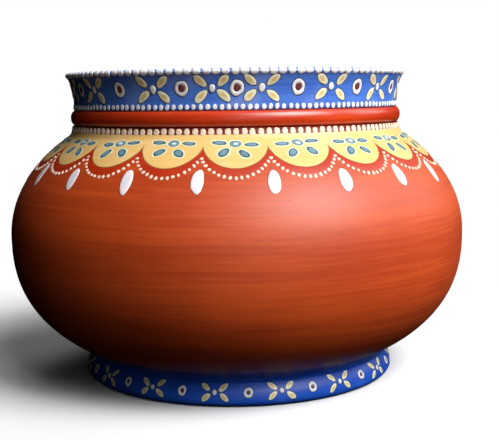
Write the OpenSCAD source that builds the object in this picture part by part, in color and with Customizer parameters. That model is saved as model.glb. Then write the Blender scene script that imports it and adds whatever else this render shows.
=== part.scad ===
// Painted earthenware pot lamp: a round-bellied pot on a ring foot, with a
// lift-out oil cup and cotton wick inside. Millimetres, +Z up, origin at the
// centre of the foot's underside. Azimuth 0 faces -Y and grows towards +X.

/* [Belly] */
// Radius at the widest line
belly_r = 101; // [98:0.5:104]
// Height of the widest line above the table
belly_z = 63.5; // [63:0.1:64]
// Height of the dome above the widest line, before the neck cuts it off
belly_rise = 62.5; // [62:0.1:63.5]
// Depth of the bowl below the widest line, before the base cuts it off
belly_drop = 62.3; // [61.8:0.1:62.8]
// Roundness of the upper half, 2 is an ellipse
rise_power = 2.06; // [2.02:0.02:2.1]
// Roundness of the lower half, 2 is an ellipse
drop_power = 2.41; // [2.36:0.01:2.44]
// Thickness of the thrown wall
wall = 5; // [4:0.5:6]

/* [Neck and lip] */
// Outer radius of the straight neck
neck_r = 72; // [71.5:0.1:72.4]
// Radius of the cylindrical bore through the neck
bore_r = 66.5; // [65:0.5:67]
// Outer radius of the flared lip
lip_r = 74.6; // [74:0.1:76]
// Overall height, table to lip
pot_h = 134; // [133:0.5:136]
// Lower edge of the painted band
band_z = 118.2; // [117.8:0.1:118.6]

/* [Collar bead] */
// How far the bead stands out of the neck
bead_out = 1.5; // [1:0.1:2]
// Lower edge of the bead
bead_z = 111.3; // [111:0.1:112]
// Depth of the groove that keys the bead to the neck
bead_key = 1.4; // [1:0.1:2]

/* [Foot] */
// Radius of the foot at its widest, near the table
foot_r = 69.6; // [69:0.1:71]
// Radius of the foot's waist under the belly
foot_waist = 67; // [66:0.1:68]
// Inner radius of the foot ring
foot_bore = 57.5; // [55:0.5:60]
// Height of the belly's flat underside above the table
base_z = 5; // [4.5:0.5:6]

/* [Oil cup] */
// Outer radius of the cup's rim
cup_r = 42; // [40:1:44]
// Height of the cup
cup_h = 27; // [25:1:29]
// Radius of the cup's foot
cup_foot_r = 23; // [21:1:25]
// Thickness of the cup's wall
cup_wall = 4; // [3.5:0.5:4.5]
// Depth of the oil's surface below the cup's rim
oil_gap = 6.5; // [6:0.5:8]
// Distance from the cup's centre to the tip of its spout
spout_reach = 51; // [49:1:53]

/* [Wick] */
// Diameter of the twisted cotton wick
wick_d = 5; // [4:0.5:6]
// How far the wick stands out past the spout
wick_out = 4; // [2:1:5]
// Slope of the wick where it lies in the cup
wick_slope = 17; // [15:1:19]

/* [Painted relief] */
// Flowers round the foot
foot_flowers = 16; // [12:1:17]
// Scallops round the shoulder
scallops = 20; // [18:1:20]
// Height of a raised paint stroke above the clay
paint_h = 0.45; // [0.35:0.05:0.6]
// Thickness of the flat painted films on the shoulder
film_h = 0.2; // [0.15:0.05:0.3]

/* [Hidden] */
$fn = 48;

// Clay and paint colours
terracotta = "#b8492a";
band_blue = "#2a56b4";
bead_red = "#c23a17";
cream = "#f3d68a";
border_red = "#c9421c";
chalk_white = "#f3ece6";
petal_yellow = "#e0d6a2";
maroon = "#6b2a2c";
slate_blue = "#56798f";
raw_clay = "#b9683f";
oil_gold = "#c98a1e";
cotton = "#efe6d2";

paint_sunk = 0.15;       // depth a stroke is keyed into the clay, so no gap shows
floor_z = base_z + 5.5;  // inside floor of the pot, where the cup stands
edge_round = 1.2;        // rounding of the lip's outer edge
lip_edge_z = pot_h - edge_round;
seam = 12;               // steps in each curved stretch of an outline

// Belly curve. The angle a is -90 at the bottom, 0 at the widest line and 90 at
// the top; t is how far inside the outer skin the curve runs.
function belly_power(a) = a < 0 ? drop_power : rise_power;
function belly_half(a, t) = (a < 0 ? -belly_drop : belly_rise) - sign(a) * t;
function belly_point(a, t = 0) =
    [(belly_r - t) * pow(cos(a), 2 / belly_power(a)),
     belly_z + belly_half(a, t) * pow(abs(sin(a)), 2 / belly_power(a))];
function belly_arc(a0, a1, n, t = 0) =
    [for (i = [0:n]) belly_point(a0 + (a1 - a0) * i / n, t)];
// The angle a at which the upper or lower curve has radius r, or height z
function upper_at_r(r, t = 0) = acos(pow(r / (belly_r - t), rise_power / 2));
function lower_at_r(r, t = 0) = -acos(pow(r / (belly_r - t), drop_power / 2));
function upper_at_z(z) = asin(pow((z - belly_z) / belly_rise, rise_power / 2));
function lower_at_z(z, t = 0) =
    -asin(pow((belly_z - z) / (belly_drop - t), drop_power / 2));
// Elevation of the belly's outward normal at angle a
function belly_normal(a) =
    let (d = belly_point(a + 0.5) - belly_point(a - 0.5)) atan2(-d[0], d[1]);

function arc(c, r, a0, a1, n = seam) =
    [for (i = [0:n]) let (a = a0 + (a1 - a0) * i / n) c + r * [cos(a), sin(a)]];
function bend(p0, p1, p2, s) = (1 - s) * (1 - s) * p0 + 2 * s * (1 - s) * p1 + s * s * p2;

// Fillet of slip where the neck is luted to the shoulder
root_r = neck_r + 0.7;
fillet_a = upper_at_r(root_r + 2.4);
function fillet_point(s, t = 0) =
    let (p = belly_point(fillet_a),
         e = belly_normal(fillet_a),
         run = p[0] - root_r,
         q = bend(p, [root_r, p[1] + run / tan(e)], [root_r, bead_z], s))
    q - t * [1, (1 - s) * tan(e)];

// Outer radius of the neck above the bead, and the elevation of its normal
function band_r(z) =
    let (s = max(0, (z - band_z) / (lip_edge_z - band_z)))
    neck_r + (lip_r - neck_r) * pow(s, 3);
function band_normal(z) = -atan2(band_r(z + 0.5) - band_r(z - 0.5), 1);

// Outer radius of the foot at height z, and the elevation of its normal
foot_round = 3;
waist_z = 9.5;
function foot_side(z) =
    let (s = (waist_z - z) / (waist_z - foot_round))
    foot_waist + (foot_r - foot_waist) * (1 - pow(1 - s, 2));
function foot_normal(z) = -atan2(foot_side(z + 0.3) - foot_side(z - 0.3), 0.6);

// The thrown body: one continuous wall from the floor up to the neck
module belly() {
    outline = concat(
        [[0, base_z]],
        belly_arc(lower_at_z(base_z), 0, 26),
        belly_arc(0, upper_at_r(bore_r), 16),
        belly_arc(upper_at_r(bore_r, wall), 0, 14, wall),
        belly_arc(0, lower_at_z(floor_z, wall), 22, wall),
        [[0, floor_z]]);
    color(terracotta) rotate_extrude() polygon(outline);
}

module foot_ring() {
    luted_a = lower_at_r(foot_r - 0.3);
    luted = belly_point(luted_a);
    corner = [foot_waist, luted[1] - 1.1];
    outline = concat(
        belly_arc(lower_at_r(foot_bore), luted_a, 8),
        [for (i = [1:5]) bend(luted, corner, [foot_waist, waist_z], i / 5)],
        [for (i = [1:8])
            let (z = waist_z + (foot_round - waist_z) * i / 8) [foot_side(z), z]],
        arc([foot_r - foot_round, foot_round], foot_round, -15, -90, 5),
        arc([foot_bore + 1.5, 1.5], 1.5, -90, -180, 4));
    color(band_blue) rotate_extrude() polygon(outline);
}

// Section of the neck: shoulder seat, fillet, groove for the bead, flared band,
// rounded lip, chamfered mouth and bore
bead_top = band_z - 0.1;
module neck_section() {
    groove_r = neck_r - bead_key;
    mouth_r = bore_r + 4.5;
    polygon(concat(
        belly_arc(upper_at_r(bore_r), fillet_a, 5),
        [for (i = [1:6]) fillet_point(i / 6)],
        [[groove_r, bead_z], [groove_r, bead_top], [neck_r, bead_top]],
        [for (i = [0:10])
            let (z = band_z + (lip_edge_z - band_z) * i / 10) [band_r(z), z]],
        arc([lip_r - edge_round, lip_edge_z], edge_round, 18, 90, 5),
        arc([mouth_r, pot_h - 1.5], 1.5, 90, 150, 4),
        [[bore_r, pot_h - 7]]));
}
module neck_rim() color(band_blue) rotate_extrude() neck_section();

module collar_bead() {
    mid = (bead_z + bead_top) / 2;
    half = (bead_top - bead_z) / 2;
    groove_r = neck_r - bead_key;
    outline = [for (i = [0:2 * seam])
        let (a = -90 + 90 * i / seam)
        [groove_r + (bead_key + bead_out) * pow(abs(cos(a)), 0.8),
         mid + half * sin(a)]];
    color(bead_red) rotate_extrude() polygon(outline);
}

// Puts a stroke on the surface: its Z is the outward normal, X runs down the
// surface and Y runs round it.
module stroke_at(az, r, z, lean) {
    rotate([0, 0, az - 90]) translate([r, 0, z]) rotate([0, 90 - lean, 0])
        translate([0, 0, -paint_sunk]) children();
}
module on_band(az, z) stroke_at(az, band_r(z), z, band_normal(z)) children();
module on_foot(az, z) stroke_at(az, foot_side(z), z, foot_normal(z)) children();
module on_shoulder(az, z) {
    a = upper_at_z(z);
    stroke_at(az, belly_point(a)[0], z, belly_normal(a)) children();
}

// Shapes of one stroke of paint
stroke_h = paint_h + paint_sunk;
module dot(d) cylinder(d1 = d, d2 = 0.7 * d, h = stroke_h, $fn = 24);
module petal(l, w) {
    r = (l * l + w * w) / (4 * w);
    intersection() {
        translate([0, r - w / 2, 0]) cylinder(r = r, h = stroke_h);
        translate([0, w / 2 - r, 0]) cylinder(r = r, h = stroke_h);
    }
}
module ring(d_out, d_in) difference() {
    cylinder(d = d_out, h = stroke_h, $fn = 32);
    translate([0, 0, -1]) cylinder(d = d_in, h = stroke_h + 2, $fn = 32);
}
module four_petals(l, w, across, up) {
    for (sx = [-1, 1], sy = [-1, 1])
        translate([sx * up, sy * across, 0]) rotate([0, 0, 48 * sx * sy]) petal(l, w);
}

// Paint on the lip band, where flowers and rings take turns. The flowers are set
// out by eye, so their gaps differ; each ring stands midway between two flowers.
band_mid = 126.5;
flower_az = [-52, -26, -7, 8, 31, 53, 76, 98, 118, 141, 162, 183, 205, 225, 247, 269, 288];
ring_az = [for (i = [0:len(flower_az) - 1])
    i == 0 ? (flower_az[0] + flower_az[len(flower_az) - 1] - 360) / 2
    : (flower_az[i] + flower_az[i - 1]) / 2];
// One pad of paint draped over the lip's rounded edge
module lip_pad() {
    centre = [lip_r - edge_round, lip_edge_z];
    rotate([0, 0, -1.5]) rotate_extrude(angle = 3) polygon(concat(
        arc(centre, edge_round + paint_h, -40, 130, 6),
        arc(centre, edge_round - paint_sunk, 130, -40, 6)));
}
module lip_dots() {
    n = 128;
    color(chalk_white) for (i = [0:n - 1]) rotate([0, 0, 360 / n * i]) intersection() {
        lip_pad();
        translate([lip_r - edge_round, 0, lip_edge_z]) rotate([0, 45, 0])
            cylinder(d = 2.8, h = 3);
    }
}
module band_edge_dots() {
    n = 168;
    color(chalk_white) for (i = [0:n - 1]) on_band(360 / n * i, band_z + 1.2) dot(2);
}
module band_petals() {
    color(petal_yellow) for (az = flower_az) on_band(az, band_mid) four_petals(6.1, 3, 4.6, 2.9);
}
module band_flower_centres() {
    color(chalk_white) for (az = flower_az) on_band(az, band_mid) dot(3);
}
module band_rings() {
    color(chalk_white) for (az = ring_az) on_band(az, band_mid) ring(5.6, 2.9);
}
module band_ring_centres() {
    color(maroon) for (az = ring_az) on_band(az, band_mid) dot(2.7);
}

// Paint on the shoulder. Each scallop is a circle about its daisy, so a place on
// it is given by u round the pot and v down the surface from the daisy's centre.
daisy_z = 105.4;
scallop_pitch = 360 / scallops;
scallop_phase = -9.2;
cream_r = 13.6 * 20 / scallops;
border_r = cream_r + 3.7;
dots_r = border_r + 0.7;
function down_shoulder(z, v, n = 8) =
    n == 0 ? z
    : down_shoulder(z - v / n * cos(belly_normal(upper_at_z(z))), v - v / n, n - 1);
function scallop_az(i) = scallop_phase + scallop_pitch * (i + 0.5);
module on_scallop(i, u, v) {
    z = down_shoulder(daisy_z, v);
    r = belly_point(upper_at_z(z))[0];
    on_shoulder(scallop_az(i) + u / r * 180 / PI, z) children();
}

panel_top = 0.78;  // where the cream stops on the neck's fillet, from 0 to 1
module film() {
    low = upper_at_z(90);
    outer = concat(
        belly_arc(low, fillet_a, 14, -film_h),
        [for (i = [1:4]) fillet_point(panel_top * i / 4, -film_h)]);
    inner = concat(
        [for (i = [4:-1:1]) fillet_point(panel_top * i / 4, paint_sunk)],
        belly_arc(fillet_a, low, 14, paint_sunk));
    rotate_extrude() polygon(concat(outer, inner));
}
module scallop_discs(r) {
    for (i = [0:scallops - 1])
        on_shoulder(scallop_az(i), daisy_z) translate([0, 0, -12]) cylinder(r = r, h = 16);
}
module cream_area() {
    cusp_z = down_shoulder(daisy_z, 2.6);
    scallop_discs(cream_r);
    translate([0, 0, cusp_z]) cylinder(r = belly_r, h = pot_h - cusp_z);
}
module cream_panel() color(cream) intersection() {
    film();
    cream_area();
}
module red_border() color(border_red) difference() {
    intersection() {
        film();
        scallop_discs(border_r);
    }
    cream_area();
}
module neck_dashes() {
    n = 144;
    color(chalk_white) for (i = [0:n - 1])
        stroke_at(360 / n * i, root_r + 0.05, bead_z - 1.4, 3) petal(2.7, 2.2);
}
module daisy_petals() {
    color(slate_blue) for (i = [0:scallops - 1], side = [-1, 1]) {
        on_scallop(i, 6.2 * side, 0) rotate([0, 0, 90]) petal(5.1, 2.8);
        on_scallop(i, 3.9 * side, 5.6) rotate([0, 0, 41 * side]) petal(5.2, 3);
    }
}
module daisy_centres() {
    color(slate_blue) for (i = [0:scallops - 1]) on_scallop(i, 0, 0) ring(4.4, 2);
}
module scallop_dots() {
    n = 16;
    reach = asin(scallop_pitch / 2 / 180 * PI * belly_point(upper_at_z(98))[0] / dots_r);
    color(chalk_white) for (i = [0:scallops - 1], k = [0:n - 1]) {
        a = reach * (2 * k / n - 1);
        on_scallop(i, dots_r * sin(a), dots_r * cos(a)) dot(1.6);
    }
}
module shoulder_drops() {
    color(chalk_white) for (i = [0:scallops - 1])
        on_shoulder(scallop_phase + scallop_pitch * i, 92) petal(11, 5.2);
}

// Paint on the foot
foot_mid = 6.3;
foot_pitch = 360 / foot_flowers;
foot_phase = 14;
module foot_petals() {
    color(petal_yellow) for (i = [0:foot_flowers - 1])
        on_foot(foot_phase + foot_pitch * i, foot_mid) four_petals(4.6, 2.2, 3.7, 2);
}
module foot_flower_centres() {
    color(chalk_white) for (i = [0:foot_flowers - 1])
        on_foot(foot_phase + foot_pitch * i, foot_mid) dot(2);
}
module foot_rings() {
    color(chalk_white) for (i = [0:foot_flowers - 1])
        on_foot(foot_phase + foot_pitch * (i + 0.5), foot_mid) ring(3.8, 1.8);
}
module foot_ring_centres() {
    color(maroon) for (i = [0:foot_flowers - 1])
        on_foot(foot_phase + foot_pitch * (i + 0.5), foot_mid) dot(1.6);
}

// The lift-out lamp, in the cup's own frame: the cup stands on Z = 0 and its
// spout points along +X.
cup_floor = 5;
tip = [spout_reach + wick_out, 0, cup_h + wick_d / 2];
wick_l = (tip[2] - cup_floor - wick_d / 2 - 1) / sin(wick_slope);
module in_cup() translate([0, 0, floor_z]) children();
module wick_line(clear = 0, past = 0) {
    translate(tip) rotate([0, -90 - wick_slope, 0])
        translate([0, 0, -past]) cylinder(d = wick_d + clear, h = wick_l + past + clear);
}
// Radius of the cup at height h, outside or, with an inset t, inside
function cup_side(h, t = 0) =
    let (h0 = t > 0 ? cup_floor : 0, s = (h - h0) / (cup_h - h0))
    cup_foot_r - t + (cup_r - cup_foot_r) * pow(max(0, s), 0.6);
module cup_form(t = 0, top = cup_h) {
    h0 = t > 0 ? cup_floor : 0;
    rotate_extrude() polygon(concat(
        [[0, h0]],
        [for (i = [0:9])
            let (h = h0 + (top - h0) * pow(i / 9, 1.6)) [cup_side(h, t), h]],
        [[0, top]]));
}
module spout_nose() {
    base = cup_r - 14;
    translate([base, 0, cup_h]) rotate([0, 90, 0]) intersection() {
        cylinder(r = 9, h = spout_reach - base);
        translate([0, -10, 0]) cube([20, 20, spout_reach]);
    }
}
module oil_cup() {
    lip_groove = wick_d / 2 + 1;
    color(raw_clay) in_cup() difference() {
        union() {
            cup_form();
            spout_nose();
        }
        cup_form(cup_wall, cup_h + 0.01);
        wick_line(1, 20);
        translate([cup_r - 12, 0, cup_h]) rotate([0, 90, 0]) cylinder(r = lip_groove, h = 60);
    }
}
module oil() {
    color(oil_gold) in_cup() difference() {
        cup_form(cup_wall + 0.02, cup_h - oil_gap);
        wick_line(0.6, 2);
    }
}
module wick() color(cotton) in_cup() wick_line();

belly();
foot_ring();
neck_rim();
collar_bead();
cream_panel();
red_border();
lip_dots();
band_petals();
band_flower_centres();
band_rings();
band_ring_centres();
band_edge_dots();
neck_dashes();
daisy_petals();
daisy_centres();
scallop_dots();
shoulder_drops();
foot_petals();
foot_flower_centres();
foot_rings();
foot_ring_centres();
oil_cup();
oil();
wick();
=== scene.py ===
"""Looks of the painted pot lamp: clay, hand-painted relief, oil cup, oil and wick.

Shapes are worked out in millimetres in the frame of the CAD model and handed to
Blender in metres. Azimuth 0 faces -Y and grows towards +X, as in the CAD model.
"""
import math

import bpy
import numpy as np
from mathutils import Matrix, Vector


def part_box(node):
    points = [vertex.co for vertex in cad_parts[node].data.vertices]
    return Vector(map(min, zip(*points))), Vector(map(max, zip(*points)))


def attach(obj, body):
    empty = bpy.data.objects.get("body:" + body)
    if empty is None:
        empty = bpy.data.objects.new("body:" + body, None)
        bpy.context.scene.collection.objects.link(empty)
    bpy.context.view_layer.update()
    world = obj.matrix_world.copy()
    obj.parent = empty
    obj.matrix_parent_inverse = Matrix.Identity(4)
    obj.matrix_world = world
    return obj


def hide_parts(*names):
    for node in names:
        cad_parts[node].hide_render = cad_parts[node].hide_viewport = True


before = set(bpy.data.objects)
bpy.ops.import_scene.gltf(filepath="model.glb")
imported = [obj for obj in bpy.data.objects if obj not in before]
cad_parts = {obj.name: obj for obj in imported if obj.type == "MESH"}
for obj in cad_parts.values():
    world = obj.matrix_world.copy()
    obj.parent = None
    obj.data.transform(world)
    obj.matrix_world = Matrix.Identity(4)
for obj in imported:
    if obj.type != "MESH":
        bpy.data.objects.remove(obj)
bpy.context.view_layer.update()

MM = 0.001
TURN = 2 * math.pi
DEG = math.pi / 180
random = np.random.default_rng(7)


def corners(node):
    """Lowest and highest corner of a CAD node, in millimetres."""
    low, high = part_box(node)
    return low / MM, high / MM


# ---------------------------------------------------------------- driving sizes
# The boxes of the CAD nodes give the outside sizes. The other values repeat driving
# values of the CAD model that no box shows.
belly_low, belly_high = corners("belly")
neck_high = corners("neck_rim")[1]
bead_low, bead_high = corners("collar_bead")
foot_high = corners("foot_ring")[1]
cup_low, cup_high = corners("oil_cup")

belly_r = belly_high.x
base_z = belly_low.z
belly_z = 63.5
belly_rise, rise_power = 62.5, 2.06
belly_drop, drop_power = 62.3, 2.41
wall = 5.0
floor_z = cup_low.z

neck_r, root_r, bore_r = 72.0, 72.7, 66.5
lip_r, pot_h = neck_high.x, neck_high.z
edge_round, mouth_round = 1.2, 1.5
flare, flare_depth = 4.5, 7.0
lip_edge_z = pot_h - edge_round
bead_z, bead_top, bead_r = bead_low.z, bead_high.z, bead_high.x
bead_key, bead_gap = 1.4, 0.1
groove_r = neck_r - bead_key
band_z = bead_top + bead_gap
fillet_run = 2.4
panel_top = 0.6  # share of the neck's fillet that the cream covers

foot_r, foot_waist, waist_z = foot_high.x, 67.0, 9.5
foot_round, foot_bore = 3.0, 57.5

film_h = 0.2   # thickness of the flat films of paint
paint_h = 0.3  # usual height of a raised stroke
sunk = 0.15    # depth that paint is keyed into the clay, so no gap shows

columns = 384  # points round a turned piece

# Heights of the rows of painting
band_mid_z, daisy_z, drop_z, foot_mid_z = 126.5, 105.4, 92, 6.3


# --------------------------------------------------------------- turned outlines
def belly_curve(a, inset=0.0):
    """Points (r, z) of the belly. a runs from -90 degrees at the bottom to 90 at the top."""
    a = np.asarray(a, float)
    power = np.where(a < 0, drop_power, rise_power)
    half = np.where(a < 0, belly_drop, belly_rise) - inset
    r = (belly_r - inset) * np.cos(a) ** (2 / power)
    z = belly_z + np.sign(a) * half * np.abs(np.sin(a)) ** (2 / power)
    return np.stack([r, z], -1)


def upper_at_r(r, inset=0.0):
    return math.acos((r / (belly_r - inset)) ** (rise_power / 2))


def lower_at_r(r, inset=0.0):
    return -math.acos((r / (belly_r - inset)) ** (drop_power / 2))


def lower_at_z(z, inset=0.0):
    return -math.asin(((belly_z - z) / (belly_drop - inset)) ** (drop_power / 2))


def belly_arc(a0, a1, n, inset=0.0):
    return belly_curve(np.linspace(a0, a1, n), inset)


def arc(centre, radius, a0, a1, n):
    a = np.linspace(a0, a1, n) * DEG
    return np.array(centre) + radius * np.stack([np.cos(a), np.sin(a)], -1)


def bend(p0, p1, p2, n):
    """Smooth corner from p0 to p2 with its tangents meeting at p1."""
    s = np.linspace(0, 1, n)[:, None]
    return (1 - s) ** 2 * np.array(p0) + 2 * s * (1 - s) * np.array(p1) + s**2 * np.array(p2)


fillet_a = upper_at_r(root_r + fillet_run)


def fillet(n, end=1.0):
    """The fillet of slip between the shoulder and the neck, up to a share of its length."""
    p = belly_curve(fillet_a)
    step = belly_curve(fillet_a + 0.5 * DEG) - belly_curve(fillet_a - 0.5 * DEG)
    lean = math.atan2(-step[0], step[1])
    corner = (root_r, p[1] + (p[0] - root_r) / math.tan(lean))
    whole = bend(p, corner, (root_r, bead_z), 101)
    return whole[np.linspace(0, 100 * end, n).astype(int)]


def band_side(n):
    z = np.linspace(band_z, lip_edge_z, n)
    s = (z - band_z) / (lip_edge_z - band_z)
    return np.stack([neck_r + (lip_r - neck_r) * s**3, z], -1)


def foot_side(n):
    z = np.linspace(foot_round, waist_z, n)
    s = (waist_z - z) / (waist_z - foot_round)
    return np.stack([foot_waist + (foot_r - foot_waist) * (1 - (1 - s) ** 2), z], -1)


def foot_outline():
    luted = belly_curve(lower_at_r(foot_r - 0.3))
    return np.concatenate([
        arc((foot_bore + 1.5, 1.5), 1.5, 180, 270, 7),
        arc((foot_r - foot_round, foot_round), foot_round, 270, 345, 10),
        foot_side(14),
        bend((foot_waist, waist_z), (foot_waist, luted[1] - 1.1), luted, 7)[1:],
        belly_arc(lower_at_r(foot_r - 0.3), lower_at_r(foot_bore), 10)[1:],
    ])


def lip_outline():
    """Outside of the painted band, over the rounded lip, to the mouth."""
    return np.concatenate([
        band_side(40),
        arc((lip_r - edge_round, lip_edge_z), edge_round, 18, 90, 10)[1:],
        arc((bore_r + flare, pot_h - mouth_round), mouth_round, 90, 150, 8),
    ])


class Line:
    """A turned outline that strokes are laid on, followed by its length from the bottom."""

    def __init__(self, points, step=0.1):
        points = np.asarray(points, float)
        keep = np.r_[True, np.linalg.norm(np.diff(points, axis=0), axis=1) > 1e-6]
        points = points[keep]
        length = np.r_[0, np.cumsum(np.linalg.norm(np.diff(points, axis=0), axis=1))]
        self.s = np.arange(0, length[-1], step)
        self.r = np.interp(self.s, length, points[:, 0])
        self.z = np.interp(self.s, length, points[:, 1])
        dr, dz = np.gradient(self.r), np.gradient(self.z)
        size = np.hypot(dr, dz)
        self.nr, self.nz = dz / size, -dr / size

    def at(self, s):
        """Radius, height and outward normal at length s."""
        return tuple(np.interp(s, self.s, v) for v in (self.r, self.z, self.nr, self.nz))

    def s_at(self, z):
        return float(np.interp(z, self.z, self.s))


foot_line = Line(np.concatenate([
    arc((foot_r - foot_round, foot_round), foot_round, 300, 345, 10), foot_side(40)]))
shoulder_line = Line(np.concatenate([belly_arc(0, fillet_a, 200), fillet(40)]))
lip_line = Line(lip_outline())


def hand_made(az, z):
    """How far the thrown clay strays from a true circle, in millimetres."""
    return (0.13 * np.sin(2 * az + 0.6 + 0.01 * z)
            + 0.07 * np.sin(3 * az + 1.1 - 0.02 * z)
            + 0.04 * np.sin(7 * az + 0.05 * z))


def pot_point(r, z, az):
    """Place on the hand-made pot, in metres, from radius, height and azimuth."""
    r = r + hand_made(az, z) * np.clip(r / 30, 0, 1)
    return np.stack([r * np.sin(az), -r * np.cos(az), z + 0 * az], -1) * MM


# ------------------------------------------------------------------ mesh making
def mesh_object(name, verts, faces, materials, values=None, zones=None, sharp=40):
    """A smooth mesh piece. values are per-vertex numbers, zones the material of each face."""
    mesh = bpy.data.meshes.new(name)
    mesh.from_pydata(np.asarray(verts).tolist(), [], faces)
    for key, numbers in (values or {}).items():
        attribute = mesh.attributes.new(key, "FLOAT", "POINT")
        attribute.data.foreach_set("value", np.asarray(numbers, np.float32))
    for material in materials:
        mesh.materials.append(material)
    if zones is not None:
        mesh.polygons.foreach_set("material_index", np.asarray(zones, np.int32))
    mesh.polygons.foreach_set("use_smooth", np.ones(len(mesh.polygons), bool))
    mesh.set_sharp_from_angle(angle=sharp * DEG)
    mesh.update()
    piece = bpy.data.objects.new(name, mesh)
    bpy.context.scene.collection.objects.link(piece)
    return piece


def grid_faces(rows, cols, offset=0, flip=False, wrap=True):
    """Quads between successive rows of points. Rows wrap round when wrap is set."""
    faces = []
    last = cols if wrap else cols - 1
    for i in range(rows - 1):
        a, b = offset + i * cols, offset + (i + 1) * cols
        for j in range(last):
            k = (j + 1) % cols
            quad = (a + j, a + k, b + k, b + j)
            faces.append(quad[::-1] if flip else quad)
    return faces


def thicken(points, step):
    """The same outline with extra points, so that no piece of it is longer than step."""
    out = [points[0]]
    for p, q in zip(points[:-1], points[1:]):
        n = max(1, int(math.ceil(np.linalg.norm(q - p) / step)))
        out += [p + (q - p) * (k + 1) / n for k in range(n)]
    return np.array(out)


def turned(name, sections, materials, closed=False, values=None):
    """Turns an outline made of sections, each (points, material number)."""
    points, zone = [], []
    for section, material in sections:
        section = np.asarray(section, float)
        skip = 1 if points and np.linalg.norm(points[-1] - section[0]) < 1e-6 else 0
        points += list(section[skip:])
        zone += [material] * (len(section) - skip)
    if closed and np.linalg.norm(points[0] - points[-1]) < 1e-6:
        points, zone = points[:-1], zone[:-1]
    points = np.array(points)
    az = np.arange(columns) * TURN / columns
    verts, start = [], []
    for r, z in points:
        start.append(len(verts))
        if r < 1e-6:
            verts.append((0, 0, z * MM))
        else:
            verts += pot_point(r, z, az).tolist()
    faces, zones = [], []
    rows = len(points)
    for i in range(rows if closed else rows - 1):
        j = (i + 1) % rows
        a, b = start[i], start[j]
        for c in range(columns):
            d = (c + 1) % columns
            if points[i][0] < 1e-6:
                faces.append((a, b + d, b + c))
            elif points[j][0] < 1e-6:
                faces.append((a + c, a + d, b))
            else:
                faces.append((a + c, a + d, b + d, b + c))
            zones.append(zone[j])
    spread = {}
    for key, rule in (values or {}).items():
        spread[key] = [v for r, z in points for v in [rule(r, z)] * (1 if r < 1e-6 else columns)]
    return mesh_object(name, verts, faces, materials, spread, zones)


# --------------------------------------------------------------------- brushwork
class Paint:
    """Gathers the raised strokes of one node. Each is a closed domed pad of paint.

    under is the thickness of the paint that the strokes lie on."""

    # Share of the outline, share of the height and rim value of each ring of a pad
    dome = ((0.45, 0.99, 0.45), (0.75, 0.94, 0.75), (0.9, 0.76, 0.9), (1.0, 0.25, 1.0))

    def __init__(self, line, under=0.0):
        self.line, self.under = line, under
        self.verts, self.faces, self.rim, self.tone, self.zone = [], [], [], [], []
        self.count = 0

    def lay(self, az, s, u, y, lift, rim, tone):
        """Adds points u round and y up from a centre, lifted off the surface."""
        r, z, nr, nz = self.line.at(s + y)
        lift = lift + self.under * (lift > 0)
        self.verts.append(pot_point(r + nr * lift, z + nz * lift, az + u / r))
        self.rim.append(np.broadcast_to(rim, np.shape(u)))
        self.tone.append(np.full(np.shape(u), tone))
        self.count += len(u)

    def pad(self, az, s, shape, height=paint_h, halo=0.0, zone=0, at=(0, 0)):
        """One domed stroke with the outline shape about the place at, and a film of halo round it."""
        n = len(shape)
        tone = random.random()
        shape = shape * (1 + 0.05 * wave(n, 3) + 0.03 * wave(n, 5))[:, None]
        height = height * random.uniform(0.8, 1.1)
        stations = [(shape * k, height * h, rim) for k, h, rim in self.dome]
        out = outward(shape)
        if halo:
            ragged = halo * (1 + 0.35 * wave(n, 4) + 0.25 * wave(n, 7))[:, None]
            stations.append((shape + out * ragged * 0.12, 0.05, 1.6))
            stations.append((shape + out * ragged * 0.9, 0.045, 2.0))
            stations.append((shape + out * ragged, -sunk, 2.0))
        else:
            stations.append((shape + out * 0.03, -sunk, 1.0))
        first = self.count
        centre = np.zeros((1, 2))
        stations = [(centre, height, 0.0)] + stations + [(centre, -sunk, 1.0)]
        for points, lift, rim in stations:
            self.lay(az, s, points[:, 0] + at[0], points[:, 1] + at[1], lift, rim, tone)
        ring = first + 1
        rows = len(stations) - 2
        last = ring + n * rows
        faces = [(first, ring + j, ring + (j + 1) % n) for j in range(n)]
        faces += grid_faces(rows, n, ring, flip=True)
        faces += [(last, last - n + (j + 1) % n, last - n + j) for j in range(n)]
        self.faces += faces
        self.zone += [zone] * len(faces)

    def ring(self, az, s, outer, inner, height=paint_h, tall=1.1, halo=0.25):
        """A round stroke that closes on itself, as a brush draws it."""
        n = 28
        a = np.arange(n) * TURN / n
        tone = random.random()
        thick = (outer - inner) * (1 + 0.12 * wave(n, 2) + 0.06 * wave(n, 5))
        start = inner * (1 + 0.06 * wave(n, 3))
        section = ((0.0, -sunk, 1), (0.0, 0.2 * height, 1), (0.2, 0.75 * height, 0.6),
                   (0.5, height, 0.1), (0.8, 0.75 * height, 0.6), (1.0, 0.2 * height, 1),
                   (1 + 0.12 * halo, 0.05, 1.6), (1 + halo, 0.045, 2), (1 + halo, -sunk, 2))
        first = self.count
        for across, lift, rim in section:
            radius = start + thick * across
            self.lay(az, s, radius * np.sin(a), tall * radius * np.cos(a), lift, rim, tone)
        faces = grid_faces(len(section), n, first)
        tail = first + n * (len(section) - 1)
        faces += [(tail + j, tail + (j + 1) % n, first + (j + 1) % n, first + j) for j in range(n)]
        self.faces += faces
        self.zone += [0] * len(faces)

    def piece(self, name, materials, node):
        made = mesh_object(name, np.concatenate(self.verts), self.faces, materials,
                           {"rim": np.concatenate(self.rim), "tone": np.concatenate(self.tone)},
                           self.zone, sharp=60)
        return stands_for(made, node)


def wave(n, turns):
    """A smooth random ripple round a closed outline of n points."""
    a = np.arange(n) * TURN / n
    return random.uniform(0.4, 1) * np.sin(turns * a + random.uniform(0, TURN))


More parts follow.
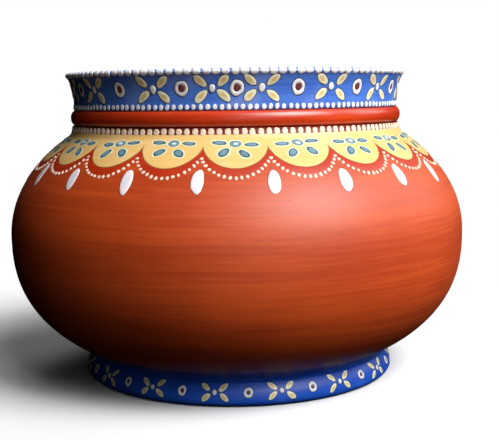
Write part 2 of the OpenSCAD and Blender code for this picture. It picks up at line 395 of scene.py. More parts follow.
def outward(shape):
    """Outward unit normals of a closed outline that runs anticlockwise."""
    along = np.roll(shape, -1, axis=0) - np.roll(shape, 1, axis=0)
    normal = np.stack([along[:, 1], -along[:, 0]], -1)
    return normal / np.linalg.norm(normal, axis=1)[:, None]


def spun(shape, degrees):
    c, s = math.cos(degrees * DEG), math.sin(degrees * DEG)
    return shape @ np.array([[c, s], [-s, c]])


def leaf(length, width, tilt=0.0, blunt=1.12, n=22, vary=0.07):
    """A brush-pressed leaf, its length upright before the tilt to the left."""
    a = np.arange(n) * TURN / n
    length *= 1 + random.uniform(-vary, vary)
    width *= 1 + random.uniform(-vary, vary)
    side = np.sign(np.sin(a)) * np.abs(np.sin(a)) ** blunt
    shape = np.stack([-width / 2 * side, length / 2 * np.cos(a)], -1)
    return spun(shape, tilt + random.uniform(-5, 5))


def blob(wide, tall, n=16, vary=0.08):
    """A touch of the brush's tip."""
    a = np.arange(n) * TURN / n
    wide *= 1 + random.uniform(-vary, vary)
    tall *= 1 + random.uniform(-vary, vary)
    return spun(np.stack([-wide / 2 * np.sin(a), tall / 2 * np.cos(a)], -1), random.uniform(-12, 12))


def jitter(amount=0.15):
    return random.uniform(-amount, amount)


def stands_for(piece, node, body="pot"):
    """Ties a piece to its body and hides the CAD node that it stands for."""
    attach(piece, body)
    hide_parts(node)
    return piece


# --------------------------------------------------------------------- materials
def srgb(r, g, b):
    """Linear colour from the usual 0 to 255 values."""
    c = np.array([r, g, b]) / 255
    c = np.where(c <= 0.04045, c / 12.92, ((c + 0.055) / 1.055) ** 2.4)
    return (*c.tolist(), 1.0)


class Look:
    """A material and the short calls that build its nodes. Lengths are millimetres."""

    def __init__(self, name):
        self.material = bpy.data.materials.new(name)
        self.material.use_nodes = True
        self.tree = self.material.node_tree
        self.tree.nodes.clear()
        self.shader = self.add("ShaderNodeBsdfPrincipled")
        end = self.add("ShaderNodeOutputMaterial")
        self.tree.links.new(self.shader.outputs[0], end.inputs[0])
        place = self.add("ShaderNodeTexCoord").outputs["Object"]
        self.mm = self.vector("SCALE", place, scale=1 / MM)
        xyz = self.add("ShaderNodeSeparateXYZ", {0: self.mm})
        self.x, self.y, self.z = xyz.outputs
        self.bumps = None

    def add(self, kind, inputs=None, **settings):
        node = self.tree.nodes.new(kind)
        for key, value in settings.items():
            setattr(node, key, value)
        for key, value in (inputs or {}).items():
            if isinstance(value, bpy.types.NodeSocket):
                self.tree.links.new(value, node.inputs[key])
            else:
                node.inputs[key].default_value = value
        return node

    def vector(self, operation, a, b=(0, 0, 0), scale=1.0):
        inputs = {0: a, "Scale": scale} if operation == "SCALE" else {0: a, 1: b}
        return self.add("ShaderNodeVectorMath", inputs, operation=operation).outputs[0]

    def math(self, operation, a, b=0.0, clamp=False):
        node = self.add("ShaderNodeMath", {0: a, 1: b}, operation=operation, use_clamp=clamp)
        return node.outputs[0]

    def noise(self, size, stretch=(1, 1, 1), detail=3.0, rough=0.5, warp=0.0):
        """Noise from 0 to 1 whose features are about size millimetres across."""
        place = self.vector("MULTIPLY", self.mm, tuple(s / size for s in stretch))
        return self.add("ShaderNodeTexNoise", {"Vector": place, "Scale": 1.0, "Detail": detail,
                        "Roughness": rough, "Distortion": warp}).outputs["Fac"]

    def fit(self, value, low, high, new_low=0.0, new_high=1.0):
        """Maps low..high smoothly onto new_low..new_high, and holds it beyond them."""
        inputs = {0: value, 1: low, 2: high, 3: new_low, 4: new_high}
        return self.add("ShaderNodeMapRange", inputs, interpolation_type="SMOOTHSTEP").outputs[0]

    def mix(self, share, a, b, blend="MIX"):
        node = self.add("ShaderNodeMix", {0: share, 6: a, 7: b}, data_type="RGBA", blend_type=blend)
        return node.outputs[2]

    def value(self, name):
        return self.add("ShaderNodeAttribute", attribute_name=name).outputs["Fac"]

    def bump(self, height, depth, strength=1.0):
        """Raises the surface by depth millimetres where height is 1."""
        inputs = {"Height": height, "Distance": depth * MM, "Strength": strength}
        if self.bumps is not None:
            inputs["Normal"] = self.bumps
        self.bumps = self.add("ShaderNodeBump", inputs).outputs[0]

    def finish(self, color, rough, coat=0.0, coat_rough=0.3, specular=0.5, **fixed):
        inputs = {"Base Color": color, "Roughness": rough, "Coat Weight": coat,
                  "Coat Roughness": coat_rough, "Specular IOR Level": specular, **fixed}
        if self.bumps is not None:
            inputs["Normal"] = self.bumps
        for key, item in inputs.items():
            if isinstance(item, bpy.types.NodeSocket):
                self.tree.links.new(item, self.shader.inputs[key])
            else:
                self.shader.inputs[key].default_value = item
        return self.material


wheel = (0.03, 0.03, 1.0)  # stretches noise into marks that run round the pot
foot_main, foot_deep, foot_pale = srgb(34, 90, 204), srgb(12, 50, 160), srgb(58, 108, 214)


def clay_paint(name, deep, bright, rough, coat, coat_rough, blue_below=None):
    """Brushed earth colour over clay: wheel lines, patches, pores and small scuffs.

    Below the height blue_below, the foot's blue has been brushed up onto the clay."""
    look = Look(name)
    lines = look.noise(1.4, wheel, detail=4, rough=0.6)
    broad = look.noise(9, wheel, detail=2)
    patch = look.noise(45, detail=3)
    pores = look.fit(look.noise(0.9, detail=2), 0.68, 0.76)
    scuff = look.fit(look.noise(16, (1, 1, 2.5), detail=6, rough=0.7), 0.66, 0.74)
    tone = look.math("ADD", look.math("MULTIPLY", lines, 0.55), look.math("MULTIPLY", broad, 0.45))
    tone = look.math("ADD", look.fit(tone, 0.38, 0.62), look.fit(patch, 0.35, 0.65, -0.25, 0.25))
    color = look.mix(tone, deep, bright)
    pore_color = tuple(0.3 * c for c in deep[:3]) + (1,)
    scuff_color = tuple(min(1, 1.6 * c + 0.03) for c in bright[:3]) + (1,)
    color = look.mix(look.math("MULTIPLY", pores, 0.45), color, pore_color)
    color = look.mix(look.math("MULTIPLY", scuff, 0.12), color, scuff_color)
    if blue_below is not None:
        uneven = look.math("MULTIPLY", look.noise(7, detail=4, rough=0.6), 1.6)
        height = look.math("ADD", look.z, look.math("SUBTRACT", uneven, 0.8))
        blue_share = look.fit(height, blue_below - 0.12, blue_below + 0.12, 1.0, 0.0)
        color = look.mix(blue_share, color, look.mix(tone, foot_deep, foot_main))
    look.bump(lines, 0.05)
    look.bump(broad, 0.12)
    look.bump(look.noise(0.7, detail=3), 0.015)
    look.bump(pores, -0.05)
    roughness = look.math("ADD", look.math("MULTIPLY", lines, 0.16), rough - 0.08)
    roughness = look.math("ADD", roughness, look.math("MULTIPLY", scuff, 0.15))
    return look.finish(color, roughness, coat, coat_rough)


def raw_clay_look(name, pale, dark):
    """Bare fired clay: throwing lines, grit and smoke-dark patches, quite matt."""
    look = Look(name)
    lines = look.noise(2.2, wheel, detail=4, rough=0.65)
    patch = look.noise(30, detail=4)
    grit = look.noise(0.6, detail=2)
    dark_grit = look.fit(grit, 0.66, 0.72)
    pale_grit = look.fit(look.noise(1.1, detail=1), 0.7, 0.75)
    tone = look.math("ADD", look.math("MULTIPLY", lines, 0.5), look.math("MULTIPLY", patch, 0.5))
    color = look.mix(look.fit(tone, 0.36, 0.64), dark, pale)
    color = look.mix(look.math("MULTIPLY", dark_grit, 0.6), color, srgb(70, 34, 22))
    color = look.mix(look.math("MULTIPLY", pale_grit, 0.5), color, srgb(214, 170, 132))
    look.bump(lines, 0.18)
    look.bump(grit, 0.05)
    return look.finish(color, look.fit(lines, 0.3, 0.7, 0.72, 0.9), specular=0.3)


def flat_paint(name, main, deep, pale, rough):
    """Poster paint laid with a brush in thin and thick streaks: its look, colour and roughness."""
    look = Look(name)
    streak = look.noise(1.1, wheel, detail=4, rough=0.6)
    cloud = look.noise(14, detail=3)
    color = look.mix(look.fit(streak, 0.3, 0.7, 0, 0.55), main, deep)
    color = look.mix(look.fit(cloud, 0.45, 0.72, 0, 0.5), color, pale)
    look.bump(streak, 0.05)
    look.bump(look.noise(0.5, detail=2), 0.012)
    return look, color, look.fit(streak, 0.3, 0.7, rough - 0.06, rough + 0.08)


def stroke_paint(name, heart, edge, outline, heart_to=(0.35, 0.8), rough=0.38, vary=0.18):
    """A thick dab: heart and edge colours, and the dark or pale film that rings it."""
    look = Look(name)
    rim, tone = look.value("rim"), look.value("tone")
    grain = look.noise(0.8, detail=3)
    place = look.math("ADD", rim, look.math("MULTIPLY", look.math("SUBTRACT", grain, 0.5), 0.5))
    color = look.mix(look.fit(place, *heart_to), heart, edge)
    shade = look.math("SUBTRACT", 1.0, look.math("MULTIPLY", tone, vary))
    grey = look.add("ShaderNodeCombineColor", {0: shade, 1: shade, 2: shade}).outputs[0]
    color = look.mix(1.0, color, grey, "MULTIPLY")
    color = look.mix(look.fit(rim, 1.05, 1.35), color, outline)
    look.bump(grain, 0.03)
    look.bump(look.noise(0.35, detail=2), 0.012)
    return look.finish(color, look.fit(grain, 0.3, 0.7, rough - 0.05, rough + 0.1), 0.2, 0.25)


blue_edge_z = belly_curve(lower_at_r(foot_r - 0.3))[1] + 2.2
terracotta = clay_paint("painted_terracotta", srgb(182, 61, 15), srgb(204, 77, 21), rough=0.5,
                        coat=0.3, coat_rough=0.5, blue_below=blue_edge_z)
bare_clay = raw_clay_look("raw_terracotta", srgb(176, 104, 70), srgb(128, 66, 42))
bead_red = clay_paint("red_glaze_paint", srgb(192, 50, 14), srgb(214, 66, 20), rough=0.34,
                      coat=0.45, coat_rough=0.25)
# Painted shade: the belly's red darkened to red-brown for the strip under the bead and the groove behind it,
# where shade falls
neck_painted_shade = clay_paint("neck_red_brown", srgb(96, 22, 6), srgb(128, 34, 10), rough=0.5,
                      coat=0.1, coat_rough=0.4)


def blue_look(name, main, deep, pale, coat):
    """Blue gouache: streaks, darker navy along the band's lower edge, bare clay within."""
    look, color, rough = flat_paint(name, main, deep, pale, 0.4)
    ragged = look.noise(3.0, detail=4, rough=0.6)
    height = look.math("ADD", look.z, look.math("MULTIPLY", ragged, 2.6))
    low_edge = look.fit(height, band_z + 1.7, band_z + 3.1, 0.75, 0.0)
    above_bead = look.math("GREATER_THAN", look.z, band_z - 1)
    color = look.mix(look.math("MULTIPLY", low_edge, above_bead), color, srgb(14, 30, 104))
    depth = look.math("ADD", look.value("inward"), look.math("MULTIPLY", ragged, 5.0))
    inside = look.fit(depth, 5.6, 6.4)
    color = look.mix(inside, color, srgb(158, 90, 58))
    return look.finish(color, look.math("ADD", rough, look.math("MULTIPLY", inside, 0.35)), coat, 0.5)


def panel_look(name, main, deep, pale, line, line_width, rough, coat):
    """Flat paint of the shoulder, with a thin darker line along its scalloped edge."""
    look, color, roughness = flat_paint(name, main, deep, pale, rough)
    uneven = look.math("MULTIPLY", look.noise(2.0, detail=3), 0.3)
    edge = look.math("ADD", look.value("edge"), uneven)
    color = look.mix(look.fit(edge, line_width, line_width + 0.35, 0.8, 0.0), color, line)
    return look.finish(color, roughness, coat, 0.5)


blue = blue_look("blue_paint", srgb(76, 126, 220), srgb(38, 86, 196), srgb(128, 154, 226), coat=0.4)
foot_blue = blue_look("foot_blue_paint", foot_main, foot_deep, foot_pale, coat=0.0)
cream = panel_look("cream_paint", srgb(240, 197, 122), srgb(230, 180, 96), srgb(242, 206, 152),
                   srgb(120, 62, 24), line_width=0.3, rough=0.42, coat=0.35)
border_red = panel_look("border_red_paint", srgb(186, 50, 12), srgb(164, 36, 8), srgb(196, 68, 26),
                        srgb(150, 44, 18), line_width=0.0, rough=0.4, coat=0.2)
white = stroke_paint("white_paint", srgb(250, 250, 252), srgb(240, 240, 246), srgb(20, 26, 60), vary=0.08)
tooth_white = stroke_paint("pinkish_white_paint", srgb(250, 226, 206), srgb(246, 214, 190),
                           srgb(110, 40, 20), vary=0.08)
drop_white = stroke_paint("drop_white_paint", srgb(232, 238, 250), srgb(252, 238, 240),
                          srgb(120, 44, 36), (0.2, 0.6), vary=0.05)
petal = stroke_paint("yellow_paint", srgb(240, 206, 122), srgb(250, 246, 216), srgb(14, 34, 44),
                     (0.2, 0.75), vary=0.1)
maroon = stroke_paint("maroon_paint", srgb(132, 64, 62), srgb(104, 42, 44), srgb(66, 20, 24))
daisy = stroke_paint("slate_blue_paint", srgb(112, 148, 164), srgb(40, 82, 90), srgb(226, 236, 206),
                     (0.5, 0.9))
spot = stroke_paint("spot_paint", srgb(230, 248, 250), srgb(180, 216, 222), srgb(60, 90, 90))

# ------------------------------------------------------------------ the clay pot
underside = thicken(np.array([(0, base_z), belly_curve(lower_at_z(base_z))]), 4)
skin = belly_arc(lower_at_z(base_z), 0, 110), belly_arc(0, upper_at_r(bore_r), 70)
inside = belly_arc(upper_at_r(bore_r, wall), 0, 40, wall), belly_arc(0, lower_at_z(floor_z, wall), 60, wall)
floor = thicken(np.array([inside[1][-1], (0, floor_z)]), 4)
stands_for(turned("belly_clay", [
    (underside, 1), (skin[0], 0), (skin[1], 0),
    (thicken(np.array([skin[1][-1], inside[0][0]]), 1.5), 1),
    (inside[0], 1), (inside[1], 1), (floor, 1)], [terracotta, bare_clay]), "belly")

foot_points = foot_outline()
blue_from, blue_to = 8, 35  # points of the outline between which the foot is blue
stands_for(turned("foot_clay", [
    (foot_points[:blue_from + 1], 1), (foot_points[blue_from:blue_to + 1], 0),
    (foot_points[blue_to:], 1)], [foot_blue, bare_clay], closed=True), "foot_ring")



def inward(r, z):
    """How far a point lies inside the mouth, past the painted rim."""
    return max(0.0, lip_r - 4 - r) + max(0.0, pot_h - z) * (r < bore_r + 4)


groove = thicken(np.array([(root_r, bead_z), (groove_r, bead_z), (groove_r, bead_top),
                           (neck_r, bead_top), (neck_r, band_z)]), 1.0)
mouth = lip_outline()
bore = thicken(np.array([mouth[-1], (bore_r, pot_h - flare_depth), belly_curve(upper_at_r(bore_r))]), 1.5)
# The fillet below the cream and the groove under the bead take the red-brown of painted shade
stands_for(turned("neck_clay", [
    (belly_arc(upper_at_r(bore_r), fillet_a, 8), 1), (fillet(20), 2), (groove, 2),
    (mouth, 0), (bore, 0)], [blue, bare_clay, neck_painted_shade], closed=True,
    values={"inward": inward}), "neck_rim")

half = (bead_top - bead_z) / 2
turn = np.linspace(-90, 90, 33) * DEG
bead = np.stack([groove_r + (bead_r - groove_r) * np.abs(np.cos(turn)) ** 0.8,
                 bead_z + half + half * np.sin(turn)], -1)
bead_back = thicken(bead[[-1, 0]], 1.0)
stands_for(turned("bead_clay", [(bead, 0), (bead_back, 0)], [bead_red], closed=True), "collar_bead")


# ---------------------------------------------------------- paint on the lip band
band_mid = lip_line.s_at(band_mid_z)
flower_az = np.array([-52, -26, -7, 8, 31, 53, 76, 98, 118, 141, 162, 183, 205, 225, 247, 269, 288]) * DEG
ring_az = (flower_az + np.roll(flower_az, 1) - np.r_[TURN, np.zeros(len(flower_az) - 1)]) / 2


def four_petals(paint, az, s, length, width, across, up, halo, height):
    """The four leaves of a flower, crossed about its middle."""
    for side in (-1, 1):
        for rise in (-1, 1):
            place = side * across + jitter(0.25), rise * up + jitter(0.25)
            paint.pad(az, s, leaf(length, width, -48 * side * rise, n=24), height, halo, at=place)


petals, centres, rings, hearts = Paint(lip_line), Paint(lip_line), Paint(lip_line), Paint(lip_line)
for az in flower_az:
    rise = jitter(0.25)
    four_petals(petals, az, band_mid + rise, length=6.2, width=3.1, across=4.6, up=2.95,
                halo=0.32, height=0.2)
    centres.pad(az, band_mid + rise, blob(2.6, 3.3), 0.42, halo=0.3)
for az in ring_az:
    rise = jitter(0.3)
    rings.ring(az, band_mid + rise, outer=2.75, inner=1.35)
    hearts.pad(az, band_mid + rise, blob(2.6, 3.0), 0.3)
petals.piece("band_petal_paint", [petal], "band_petals")
centres.piece("band_flower_centre_paint", [white], "band_flower_centres")
rings.piece("band_ring_paint", [white], "band_rings")
hearts.piece("band_ring_heart_paint", [maroon], "band_ring_centres")

lip_dots, lip_count = Paint(lip_line), 128
lip_dot_s = lip_line.s_at(lip_edge_z + 0.3)
for k in range(lip_count):
    az = TURN * k / lip_count + jitter(0.2) / lip_r
    s = lip_dot_s + jitter(0.15)
    lip_dots.pad(az, s, blob(3.4, 3.2), 0.3)
lip_dots.piece("lip_dot_paint", [white], "lip_dots")

edge_dots, edge_count, edge_dot_s = Paint(lip_line), 168, 1.15
for k in range(edge_count):
    az = TURN * k / edge_count + jitter(0.2) / neck_r
    s = edge_dot_s + jitter(0.12)
    edge_dots.pad(az, s, spun(blob(1.8, 2.3), -12), 0.22)
edge_dots.piece("band_edge_dot_paint", [white], "band_edge_dots")

# --------------------------------------------------------- paint on the shoulder
dashes, dash_count = Paint(shoulder_line), 144
dash_s = shoulder_line.s_at(bead_z - 1.5)  # just under the bead
for k in range(dash_count):
    shape = leaf(2.75, 2.4, blunt=0.75)
    dashes.pad(TURN * k / dash_count + jitter(0.12) / neck_r, dash_s + jitter(0.15), shape, 0.28)
dashes.piece("neck_dash_paint", [tooth_white], "neck_dashes")

scallops, cream_r = 20, 13.6
border_r, dots_r = cream_r + 3.7, cream_r + 4.4
cream_pinch, border_pinch, dots_pinch = 1.2, 5.0, 6.0
scallop_pitch = TURN / scallops
scallop_phase = -9.2 * DEG
daisy_s = shoulder_line.s_at(daisy_z)
panel_s = shoulder_line.s_at(fillet(20, panel_top)[-1][1])
per_scallop = 44  # points across one scallop


def scallop_curve(t, radius, pinch):
    """Offset round and down from the daisy at angle t. The curve draws in by pinch at its sides."""
    reach = radius - pinch * (1 - np.cos(t))
    return reach * np.sin(t), reach * np.cos(t)


def scallop_edge(radius, pinch, widest):
    """Azimuth from the scallop's middle and length, along a curve about its daisy."""
    u, v = scallop_curve(np.linspace(-widest, widest, 177) * DEG, radius, pinch)
    return u / shoulder_line.at(daisy_s - v)[0], daisy_s - v


def film(name, low, high, rows, material, node, top=film_h):
    """A closed film of paint between two lengths, each worked out across one scallop."""
    local = (np.arange(per_scallop) / per_scallop - 0.5) * scallop_pitch
    middle = scallop_phase + scallop_pitch * (np.arange(scallops) + 0.5)
    az = (middle[:, None] + local[None, :]).ravel()
    start, stop = np.tile(low(local), scallops), np.tile(high(local), scallops)
    over = np.linspace(0, 1, rows)
    share = np.r_[over, over[::-1]]
    lifts = np.r_[top * 0.55, np.full(rows - 2, top), top * 0.55, np.full(rows, -sunk)]
    verts, edge = [], []
    for part, lift in zip(share, lifts):
        s = start + (stop - start) * part
        r, z, nr, nz = shoulder_line.at(s)
        verts.append(pot_point(r + nr * lift, z + nz * lift, az))
        u = np.tile(local, scallops) * r
        across = np.hypot(u, s - daisy_s)
        rim_r = cream_r - cream_pinch * (1 - (daisy_s - s) / np.maximum(across, 0.1))
        edge.append(np.abs(rim_r - across) + 3 * (s > daisy_s))
    total = len(az)
    faces = grid_faces(len(share), total)
    tail = total * (len(share) - 1)
    faces += [(tail + j, tail + (j + 1) % total, (j + 1) % total, j) for j in range(total)]
    values = {"edge": np.concatenate(edge)}
    piece = mesh_object(name, np.concatenate(verts), faces, [material], values, sharp=70)
    return stands_for(piece, node)


def cream_top(local):
    return np.full(len(local), panel_s)


def cream_low(local):
    """Lower edge of the cream, as a length, across one scallop."""
    return np.interp(local, *scallop_edge(cream_r, cream_pinch, 82))


def border_low(local):
    """Lower edge of the red border, as a length, across one scallop."""
    return np.interp(local, *scallop_edge(border_r, border_pinch, 69))


film("cream_panel_paint", cream_low, cream_top, 22, cream, "cream_panel")
film("red_border_paint", border_low, cream_low, 8, border_red, "red_border", film_h * 0.6)

petals, centres = Paint(shoulder_line, film_h), Paint(shoulder_line, film_h)
dots, drops = Paint(shoulder_line), Paint(shoulder_line)
dot_count, dots_reach = 16, 57 * DEG
for i in range(scallops):
    az = scallop_phase + scallop_pitch * (i + 0.5)
    s = daisy_s + jitter(0.4)
    lean = jitter(5)
    for side in (-1, 1):
        place = spun(np.array([6.2 * side + jitter(0.3), jitter(0.3)]), lean)
        petals.pad(az, s, leaf(5.6, 2.5, 90 + lean, 1.0), 0.16, halo=0.55, at=place)
        place = spun(np.array([3.9 * side + jitter(0.3), -5.6 + jitter(0.3)]), lean)
        petals.pad(az, s, leaf(5.5, 3.2, 41 * side + jitter(8), 1.0), 0.16, halo=0.55, at=place)
    centres.ring(az, s, outer=2.3, inner=1.0, height=0.16, tall=0.85, halo=0.35)
    centres.pad(az + jitter(0.3) / neck_r, s + jitter(0.3), blob(2.3, 1.8), 0.18, zone=1)
    for k in range(dot_count):
        t = dots_reach * (2 * k / dot_count - 1)
        u, v = scallop_curve(t, dots_r, dots_pinch)
        place = u + jitter(0.12), -v + jitter(0.12)
        dots.pad(az, daisy_s, spun(blob(1.3, 1.7, 14, 0.16), t / DEG - 8), 0.28, at=place)
    drop_s = shoulder_line.s_at(drop_z) + jitter(0.5)
    drops.pad(az - scallop_pitch / 2, drop_s, leaf(11, 5, 0, 1.0), 0.26, halo=0.22)
petals.piece("daisy_petal_paint", [daisy], "daisy_petals")
centres.piece("daisy_centre_paint", [daisy, spot], "daisy_centres")
dots.piece("scallop_dot_paint", [tooth_white], "scallop_dots")
drops.piece("shoulder_drop_paint", [drop_white], "shoulder_drops")

# ------------------------------------------------------------- paint on the foot
petals, centres, rings, hearts = (Paint(foot_line) for _ in range(4))
foot_s = foot_line.s_at(foot_mid_z)
foot_flowers, foot_phase = 16, 14 * DEG
for i in range(foot_flowers):
    az = foot_phase + TURN * i / foot_flowers
    four_petals(petals, az, foot_s, length=4.6, width=2.2, across=3.7, up=2.0,
                halo=0.25, height=0.18)
    centres.pad(az, foot_s, blob(1.8, 2.1), 0.4, halo=0.2)
    az += TURN / foot_flowers / 2
    rings.ring(az, foot_s + jitter(0.2), outer=1.85, inner=0.8)
    hearts.pad(az, foot_s, blob(1.4, 1.5), 0.25)
petals.piece("foot_petal_paint", [petal], "foot_petals")
centres.piece("foot_flower_centre_paint", [white], "foot_flower_centres")
rings.piece("foot_ring_paint", [white], "foot_rings")
hearts.piece("foot_ring_heart_paint", [maroon], "foot_ring_centres")

# ------------------------------------------------- the lift-out cup, oil and wick
cup_r, cup_h = -cup_low.x, 27.0
cup_foot_r, cup_wall, cup_floor = 23.0, 4.0, 5.0
spout_out = cup_high.x - cup_r
oil_h = corners("oil")[1].z - floor_z
wick_d, wick_out = 5.0, 4.0
wick_slope = 17 * DEG


def cup_wobble(az, h):
    """The cup is pinched up by hand, so it is less true than the pot."""
    return (0.35 * np.sin(2 * az + 0.9) + 0.25 * np.sin(5 * az - 0.4) + 0.12 * np.sin(9 * az)) * h / cup_h


def cup_point(r, h, az, inner=0.0):
    """Place on the cup, in metres. az is measured from the spout, which is pulled out and down."""
    rise = np.clip(h / cup_h, 0, 1)
    spout = np.exp(-((az / (13 * DEG)) ** 2)) * rise**1.5
    out = r + spout_out * spout + cup_wobble(az, h) * (1 - spout) * np.clip(r / 20, 0, 1)
    dip = (1.4 + 1.2 * inner) * spout
    waver = 0.25 * np.sin(3 * az + 0.5) * rise**4 * (1 - spout)
    z = h - dip + waver - 0.25 * rise**4
    return np.stack([out * np.cos(az), out * np.sin(az), z + floor_z], -1) * MM


def cup_wall_r(h, inner):
    low, start = (cup_floor, cup_foot_r - cup_wall) if inner else (0.0, cup_foot_r)
    return start + (cup_r - cup_foot_r) * (np.maximum(h - low, 0) / (cup_h - low)) ** 0.6


def soaked_clay_look(name):
    """Pinched clay, dark with oil up to a ragged line and sooty round the flame."""
    look = Look(name)
    lines = look.noise(2.0, wheel, detail=4, rough=0.65)
    patch = look.noise(9, detail=4)
    color = look.mix(look.fit(patch, 0.35, 0.65), srgb(150, 84, 54), srgb(182, 112, 76))
    streak = look.math("MULTIPLY", look.fit(lines, 0.35, 0.65), 0.35)
    color = look.mix(streak, color, srgb(118, 60, 38))
    level = look.math("ADD", look.z, look.math("MULTIPLY", patch, 3.5))
    wet = look.fit(level, floor_z + oil_h + 1.6, floor_z + oil_h + 4.2, 1.0, 0.0)
    x_squared = look.math("MULTIPLY", look.x, look.x)
    y_squared = look.math("MULTIPLY", look.y, look.y)
    reach = look.math("SQRT", look.math("ADD", x_squared, y_squared))
    within = look.fit(reach, cup_r - 3.5, cup_r - 2.5, 1.0, 0.0)
    wet = look.math("MULTIPLY", wet, within)
    color = look.mix(look.math("MULTIPLY", wet, 0.75), color, srgb(84, 40, 22))
    flame = (cup_r + 8, 0, floor_z + cup_h)
    from_flame = look.add("ShaderNodeVectorMath", {0: look.mm, 1: flame},
                          operation="DISTANCE").outputs["Value"]
    soot = look.fit(look.math("ADD", from_flame, look.math("MULTIPLY", patch, 6)), 7, 15, 0.85, 0.0)
    color = look.mix(soot, color, srgb(26, 20, 18))
    look.bump(lines, 0.2)
    look.bump(look.noise(0.7, detail=2), 0.05)
    return look.finish(color, look.math("SUBTRACT", 0.85, look.math("MULTIPLY", wet, 0.5)))


def oil_look(name):
    """Golden lamp oil, clear, with the faintest ripple."""
    look = Look(name)
    look.bump(look.noise(14, detail=1), 0.03)
    depth = look.fit(look.noise(20, detail=2), 0.3, 0.7)
    color = look.mix(depth, srgb(246, 196, 84), srgb(250, 210, 110))
    rough = look.fit(look.noise(6, detail=2), 0.3, 0.7, 0.03, 0.07)
    return look.finish(color, rough, **{"Transmission Weight": 0.85, "IOR": 1.47})


def cotton_look(name):
    """Twisted cotton, oily near the cup and black where it has burnt."""
    look = Look(name)
    fibre = look.noise(0.35, detail=4, rough=0.7)
    color = look.mix(look.fit(fibre, 0.3, 0.7), srgb(206, 190, 156), srgb(244, 236, 216))
    level = look.math("ADD", look.z, look.math("MULTIPLY", fibre, 1.2))
    oiled = look.fit(level, floor_z + oil_h + 1.5, floor_z + oil_h + 7, 0.65, 0.15)
    color = look.mix(oiled, color, srgb(196, 146, 62))
    burnt = look.math("ADD", look.value("char"), look.math("MULTIPLY", fibre, 0.25))
    color = look.mix(look.fit(burnt, 0.3, 0.65), color, srgb(18, 15, 14))
    look.bump(fibre, 0.12)
    rough = look.fit(level, floor_z + oil_h, floor_z + oil_h + 8, 0.35, 0.9)
    return look.finish(color, rough, specular=0.3)


around = 240  # points round the cup


def round_solid(name, rings, ends, material, flip=False):
    """A closed solid from rings of points round the cup, shut at the two heights in ends."""
    total = around * len(rings)
    tail = total - around
    faces = grid_faces(len(rings), around)
    faces += [(total, (j + 1) % around, j) for j in range(around)]
    faces += [(total + 1, tail + j, tail + (j + 1) % around) for j in range(around)]
    if flip:
        faces = [face[::-1] for face in faces]
    centres = [(0, 0, (floor_z + h) * MM) for h in ends]
    return mesh_object(name, np.concatenate(rings + [centres]), faces, [material], sharp=50)


cup_az = (np.arange(around) / around - 0.5) * TURN
outer_h = cup_h * np.linspace(0, 1, 30) ** 1.5
inner_h = cup_floor + (cup_h - cup_floor) * np.linspace(0, 1, 30) ** 1.5
rim_turn = np.linspace(0, 180, 9)[1:-1] * DEG
rim_half, rim_drop = cup_wall / 2, 1.0
rows = [(r, 0.0, 0.0) for r in np.linspace(0.5, cup_foot_r - 1.0, 8)]
rows += [(cup_foot_r - 0.3, 0.25, 0.0)]
rows += [(cup_wall_r(h, False), h, 0.0) for h in outer_h[4:-1]]
rows += [(cup_r - rim_half + rim_half * math.cos(a), cup_h - rim_drop + rim_drop * math.sin(a),
          0.5 - 0.5 * math.cos(a)) for a in rim_turn]
rows += [(cup_wall_r(h, True), h, 1.0) for h in inner_h[1:-1][::-1]]
rows += [(r, cup_floor, 1.0) for r in np.linspace(cup_foot_r - cup_wall - 1, 0.5, 8)]
rings = [cup_point(r, h, cup_az, inner) for r, h, inner in rows]
cup = round_solid("cup_clay", rings, (0, cup_floor), soaked_clay_look("soaked_clay"))
stands_for(cup, "oil_cup", "lamp_cup")

# Oil: a level face that climbs a little where it meets the clay
oil_bed = 0.05  # how far the oil reaches into the clay, so no gap shows under it
oil_rows = [(f * cup_wall_r(oil_h, True), oil_h) for f in np.linspace(0.02, 0.95, 16)]
edge_r = float(cup_wall_r(oil_h, True))
oil_rows += [(edge_r * (0.95 + 0.05 * f) + 0.1 * f, oil_h + 0.45 * f**3) for f in np.linspace(0.2, 1, 6)]
oil_rows += [(cup_wall_r(h, True) + 0.1, h) for h in np.linspace(oil_h, cup_floor + 0.3, 14)[1:]]
oil_rows += [(r, cup_floor - oil_bed) for r in np.linspace(cup_foot_r - cup_wall - 1, 0.5, 6)]
rings = [cup_point(r, h, cup_az) for r, h in oil_rows]
pool = round_solid("oil_pool", rings, (oil_h, cup_floor - oil_bed), oil_look("lamp_oil"), flip=True)
stands_for(pool, "oil", "lamp_cup")

# Wick: three cotton strands twisted together, charred and frayed where it burns
tip = np.array([cup_high.x + wick_out, 0.0, floor_z + cup_h + wick_d / 2])
along = -np.array([math.cos(wick_slope), 0.0, math.sin(wick_slope)])
up = np.array([-math.sin(wick_slope), 0.0, math.cos(wick_slope)])
side = np.cross(along, up)
wick_l = (cup_h - cup_floor - 1) / math.sin(wick_slope)
strand_r, strand_out, twist_pitch = 1.42, 1.02, 13.0
frayed_fibres = 26


def tube(path, radius, sides, verts, faces, burn, char):
    """Adds a closed tube of changing radius along a path. burn says how charred each ring is."""
    tangent = np.gradient(path, axis=0)
    tangent /= np.linalg.norm(tangent, axis=1)[:, None]
    across = np.cross(tangent, up)
    across /= np.linalg.norm(across, axis=1)[:, None]
    rise = np.cross(across, tangent)
    first = sum(len(v) for v in verts)
    a = np.arange(sides) * TURN / sides
    for p, q, v, w, b in zip(path, radius, across, rise, burn):
        verts.append((p + q * (np.cos(a)[:, None] * v + np.sin(a)[:, None] * w)) * MM)
        char.append(np.full(sides, b))
    faces += grid_faces(len(path), sides, first)
    faces.append(tuple(range(first + sides - 1, first - 1, -1)))
    last = first + sides * (len(path) - 1)
    faces.append(tuple(range(last, last + sides)))


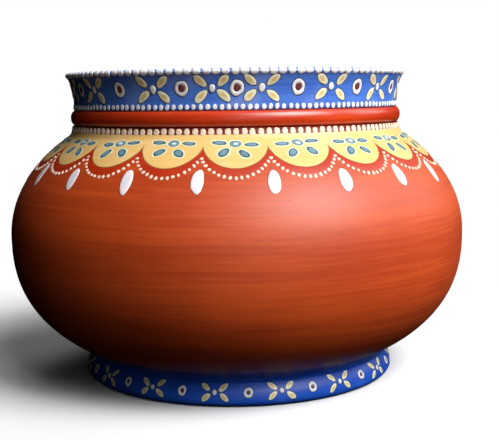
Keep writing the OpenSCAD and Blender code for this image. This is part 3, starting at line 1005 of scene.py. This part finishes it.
verts, faces, char = [], [], []
for k in range(3):
    t = np.linspace(0.4, wick_l, 150)
    a = TURN * (t / twist_pitch + k / 3) + 0.2 * np.sin(t * 0.31 + k)
    spread = strand_out * (1 - 0.35 * np.exp(-t / 2.0))
    path = tip + along * t[:, None] + spread[:, None] * (np.cos(a)[:, None] * up + np.sin(a)[:, None] * side)
    radius = strand_r * (0.94 + 0.05 * np.sin(t * 1.7 + 2 * k)) * (1 - 0.5 * np.exp(-t / 1.2))
    tube(path, radius, 12, verts, faces, np.exp(-t / 3.2), char)
for _ in range(frayed_fibres):
    a, reach = random.uniform(0, TURN), random.uniform(0.3, 1.7)
    t = np.linspace(random.uniform(1, 3), random.uniform(0.1, 0.5), 6)
    bow = np.linspace(0, random.uniform(0.1, 0.5), 6)
    path = tip + along * t[:, None] + (reach + bow)[:, None] * (math.cos(a) * up + math.sin(a) * side)
    tube(path, np.linspace(0.16, 0.05, 6), 5, verts, faces, np.ones(6), char)
wick_cotton = cotton_look("cotton")
stands_for(mesh_object("twisted_wick", np.concatenate(verts), faces, [wick_cotton],
                   {"char": np.concatenate(char)}, sharp=50), "wick", "lamp_wick")

# -------------------------------------------------------------------- stage
bpy.ops.mesh.primitive_circle_add(vertices=128, radius=3.0, fill_type="NGON", location=(0, 0, -0.0001))
floor_disc = bpy.context.object
floor_disc.name = "stage_floor"
paper = Look("stage_paper")
from_pot = paper.add("ShaderNodeVectorMath", {0: paper.mm}, operation="LENGTH").outputs["Value"]
far = paper.fit(from_pot, 120, 270)  # beyond the shadow the floor fades into plain white
sheet_color = paper.mix(paper.noise(60), (0.9, 0.9, 0.9, 1), (0.92, 0.92, 0.92, 1))
sheet_color = paper.mix(far, sheet_color, (0, 0, 0, 1))
floor_disc.data.materials.append(paper.finish(
    sheet_color, 0.9, specular=0.0, **{"Emission Color": (1, 1, 1, 1), "Emission Strength": far}))
floor_disc.visible_diffuse = False
floor_disc.visible_glossy = False

world = bpy.data.worlds.new("stage_world")
world.use_nodes = True
world.node_tree.nodes["Background"].inputs["Color"].default_value = (1, 1, 1, 1)
world.node_tree.nodes["Background"].inputs["Strength"].default_value = 1.0
bpy.context.scene.world = world
world.cycles_visibility.diffuse = False
world.cycles_visibility.glossy = False
world.cycles_visibility.transmission = False
world.cycles_visibility.scatter = False


light_distance, light_size = 1.6, 0.9
pot_middle = Vector((0, 0, 0.07))


def softbox(name, azimuth, elevation, power):
    """A square area light that faces the pot from a direction."""
    a, e = azimuth * DEG, elevation * DEG
    direction = Vector((math.sin(a) * math.cos(e), -math.cos(a) * math.cos(e), math.sin(e)))
    direction.normalize()
    light = bpy.data.lights.new(name, "AREA")
    light.shape, light.size, light.energy = "SQUARE", light_size, power
    lamp = bpy.data.objects.new(name, light)
    lamp.location = pot_middle + direction * light_distance
    lamp.rotation_euler = direction.to_track_quat("Z", "Y").to_euler()
    bpy.context.scene.collection.objects.link(lamp)


softbox("key", 50, 43, 30)
softbox("front_right", 30, 41, 13)
softbox("side", 105, 28, 7)
softbox("back", 180, 50, 4)
softbox("low_front", 10, 5, 2)

camera_data = bpy.data.cameras.new("camera")
camera_data.lens = 73.14
camera_data.sensor_fit = "HORIZONTAL"
camera_data.sensor_width = 36
camera_data.clip_start = 0.01
camera = bpy.data.objects.new("camera", camera_data)
camera_place = (0, -0.46175, 0.12399)
pitch, yaw, roll = 7.053, 0.72, -0.8
camera.matrix_world = (
    Matrix.Translation(camera_place)
    @ Matrix.Rotation(-yaw * DEG, 4, "Z")
    @ Matrix.Rotation((90 - pitch) * DEG, 4, "X")
    @ Matrix.Rotation(roll * DEG, 4, "Z"))
bpy.context.scene.collection.objects.link(camera)
bpy.context.scene.camera = camera
bpy.context.scene.view_settings.view_transform = "Standard"
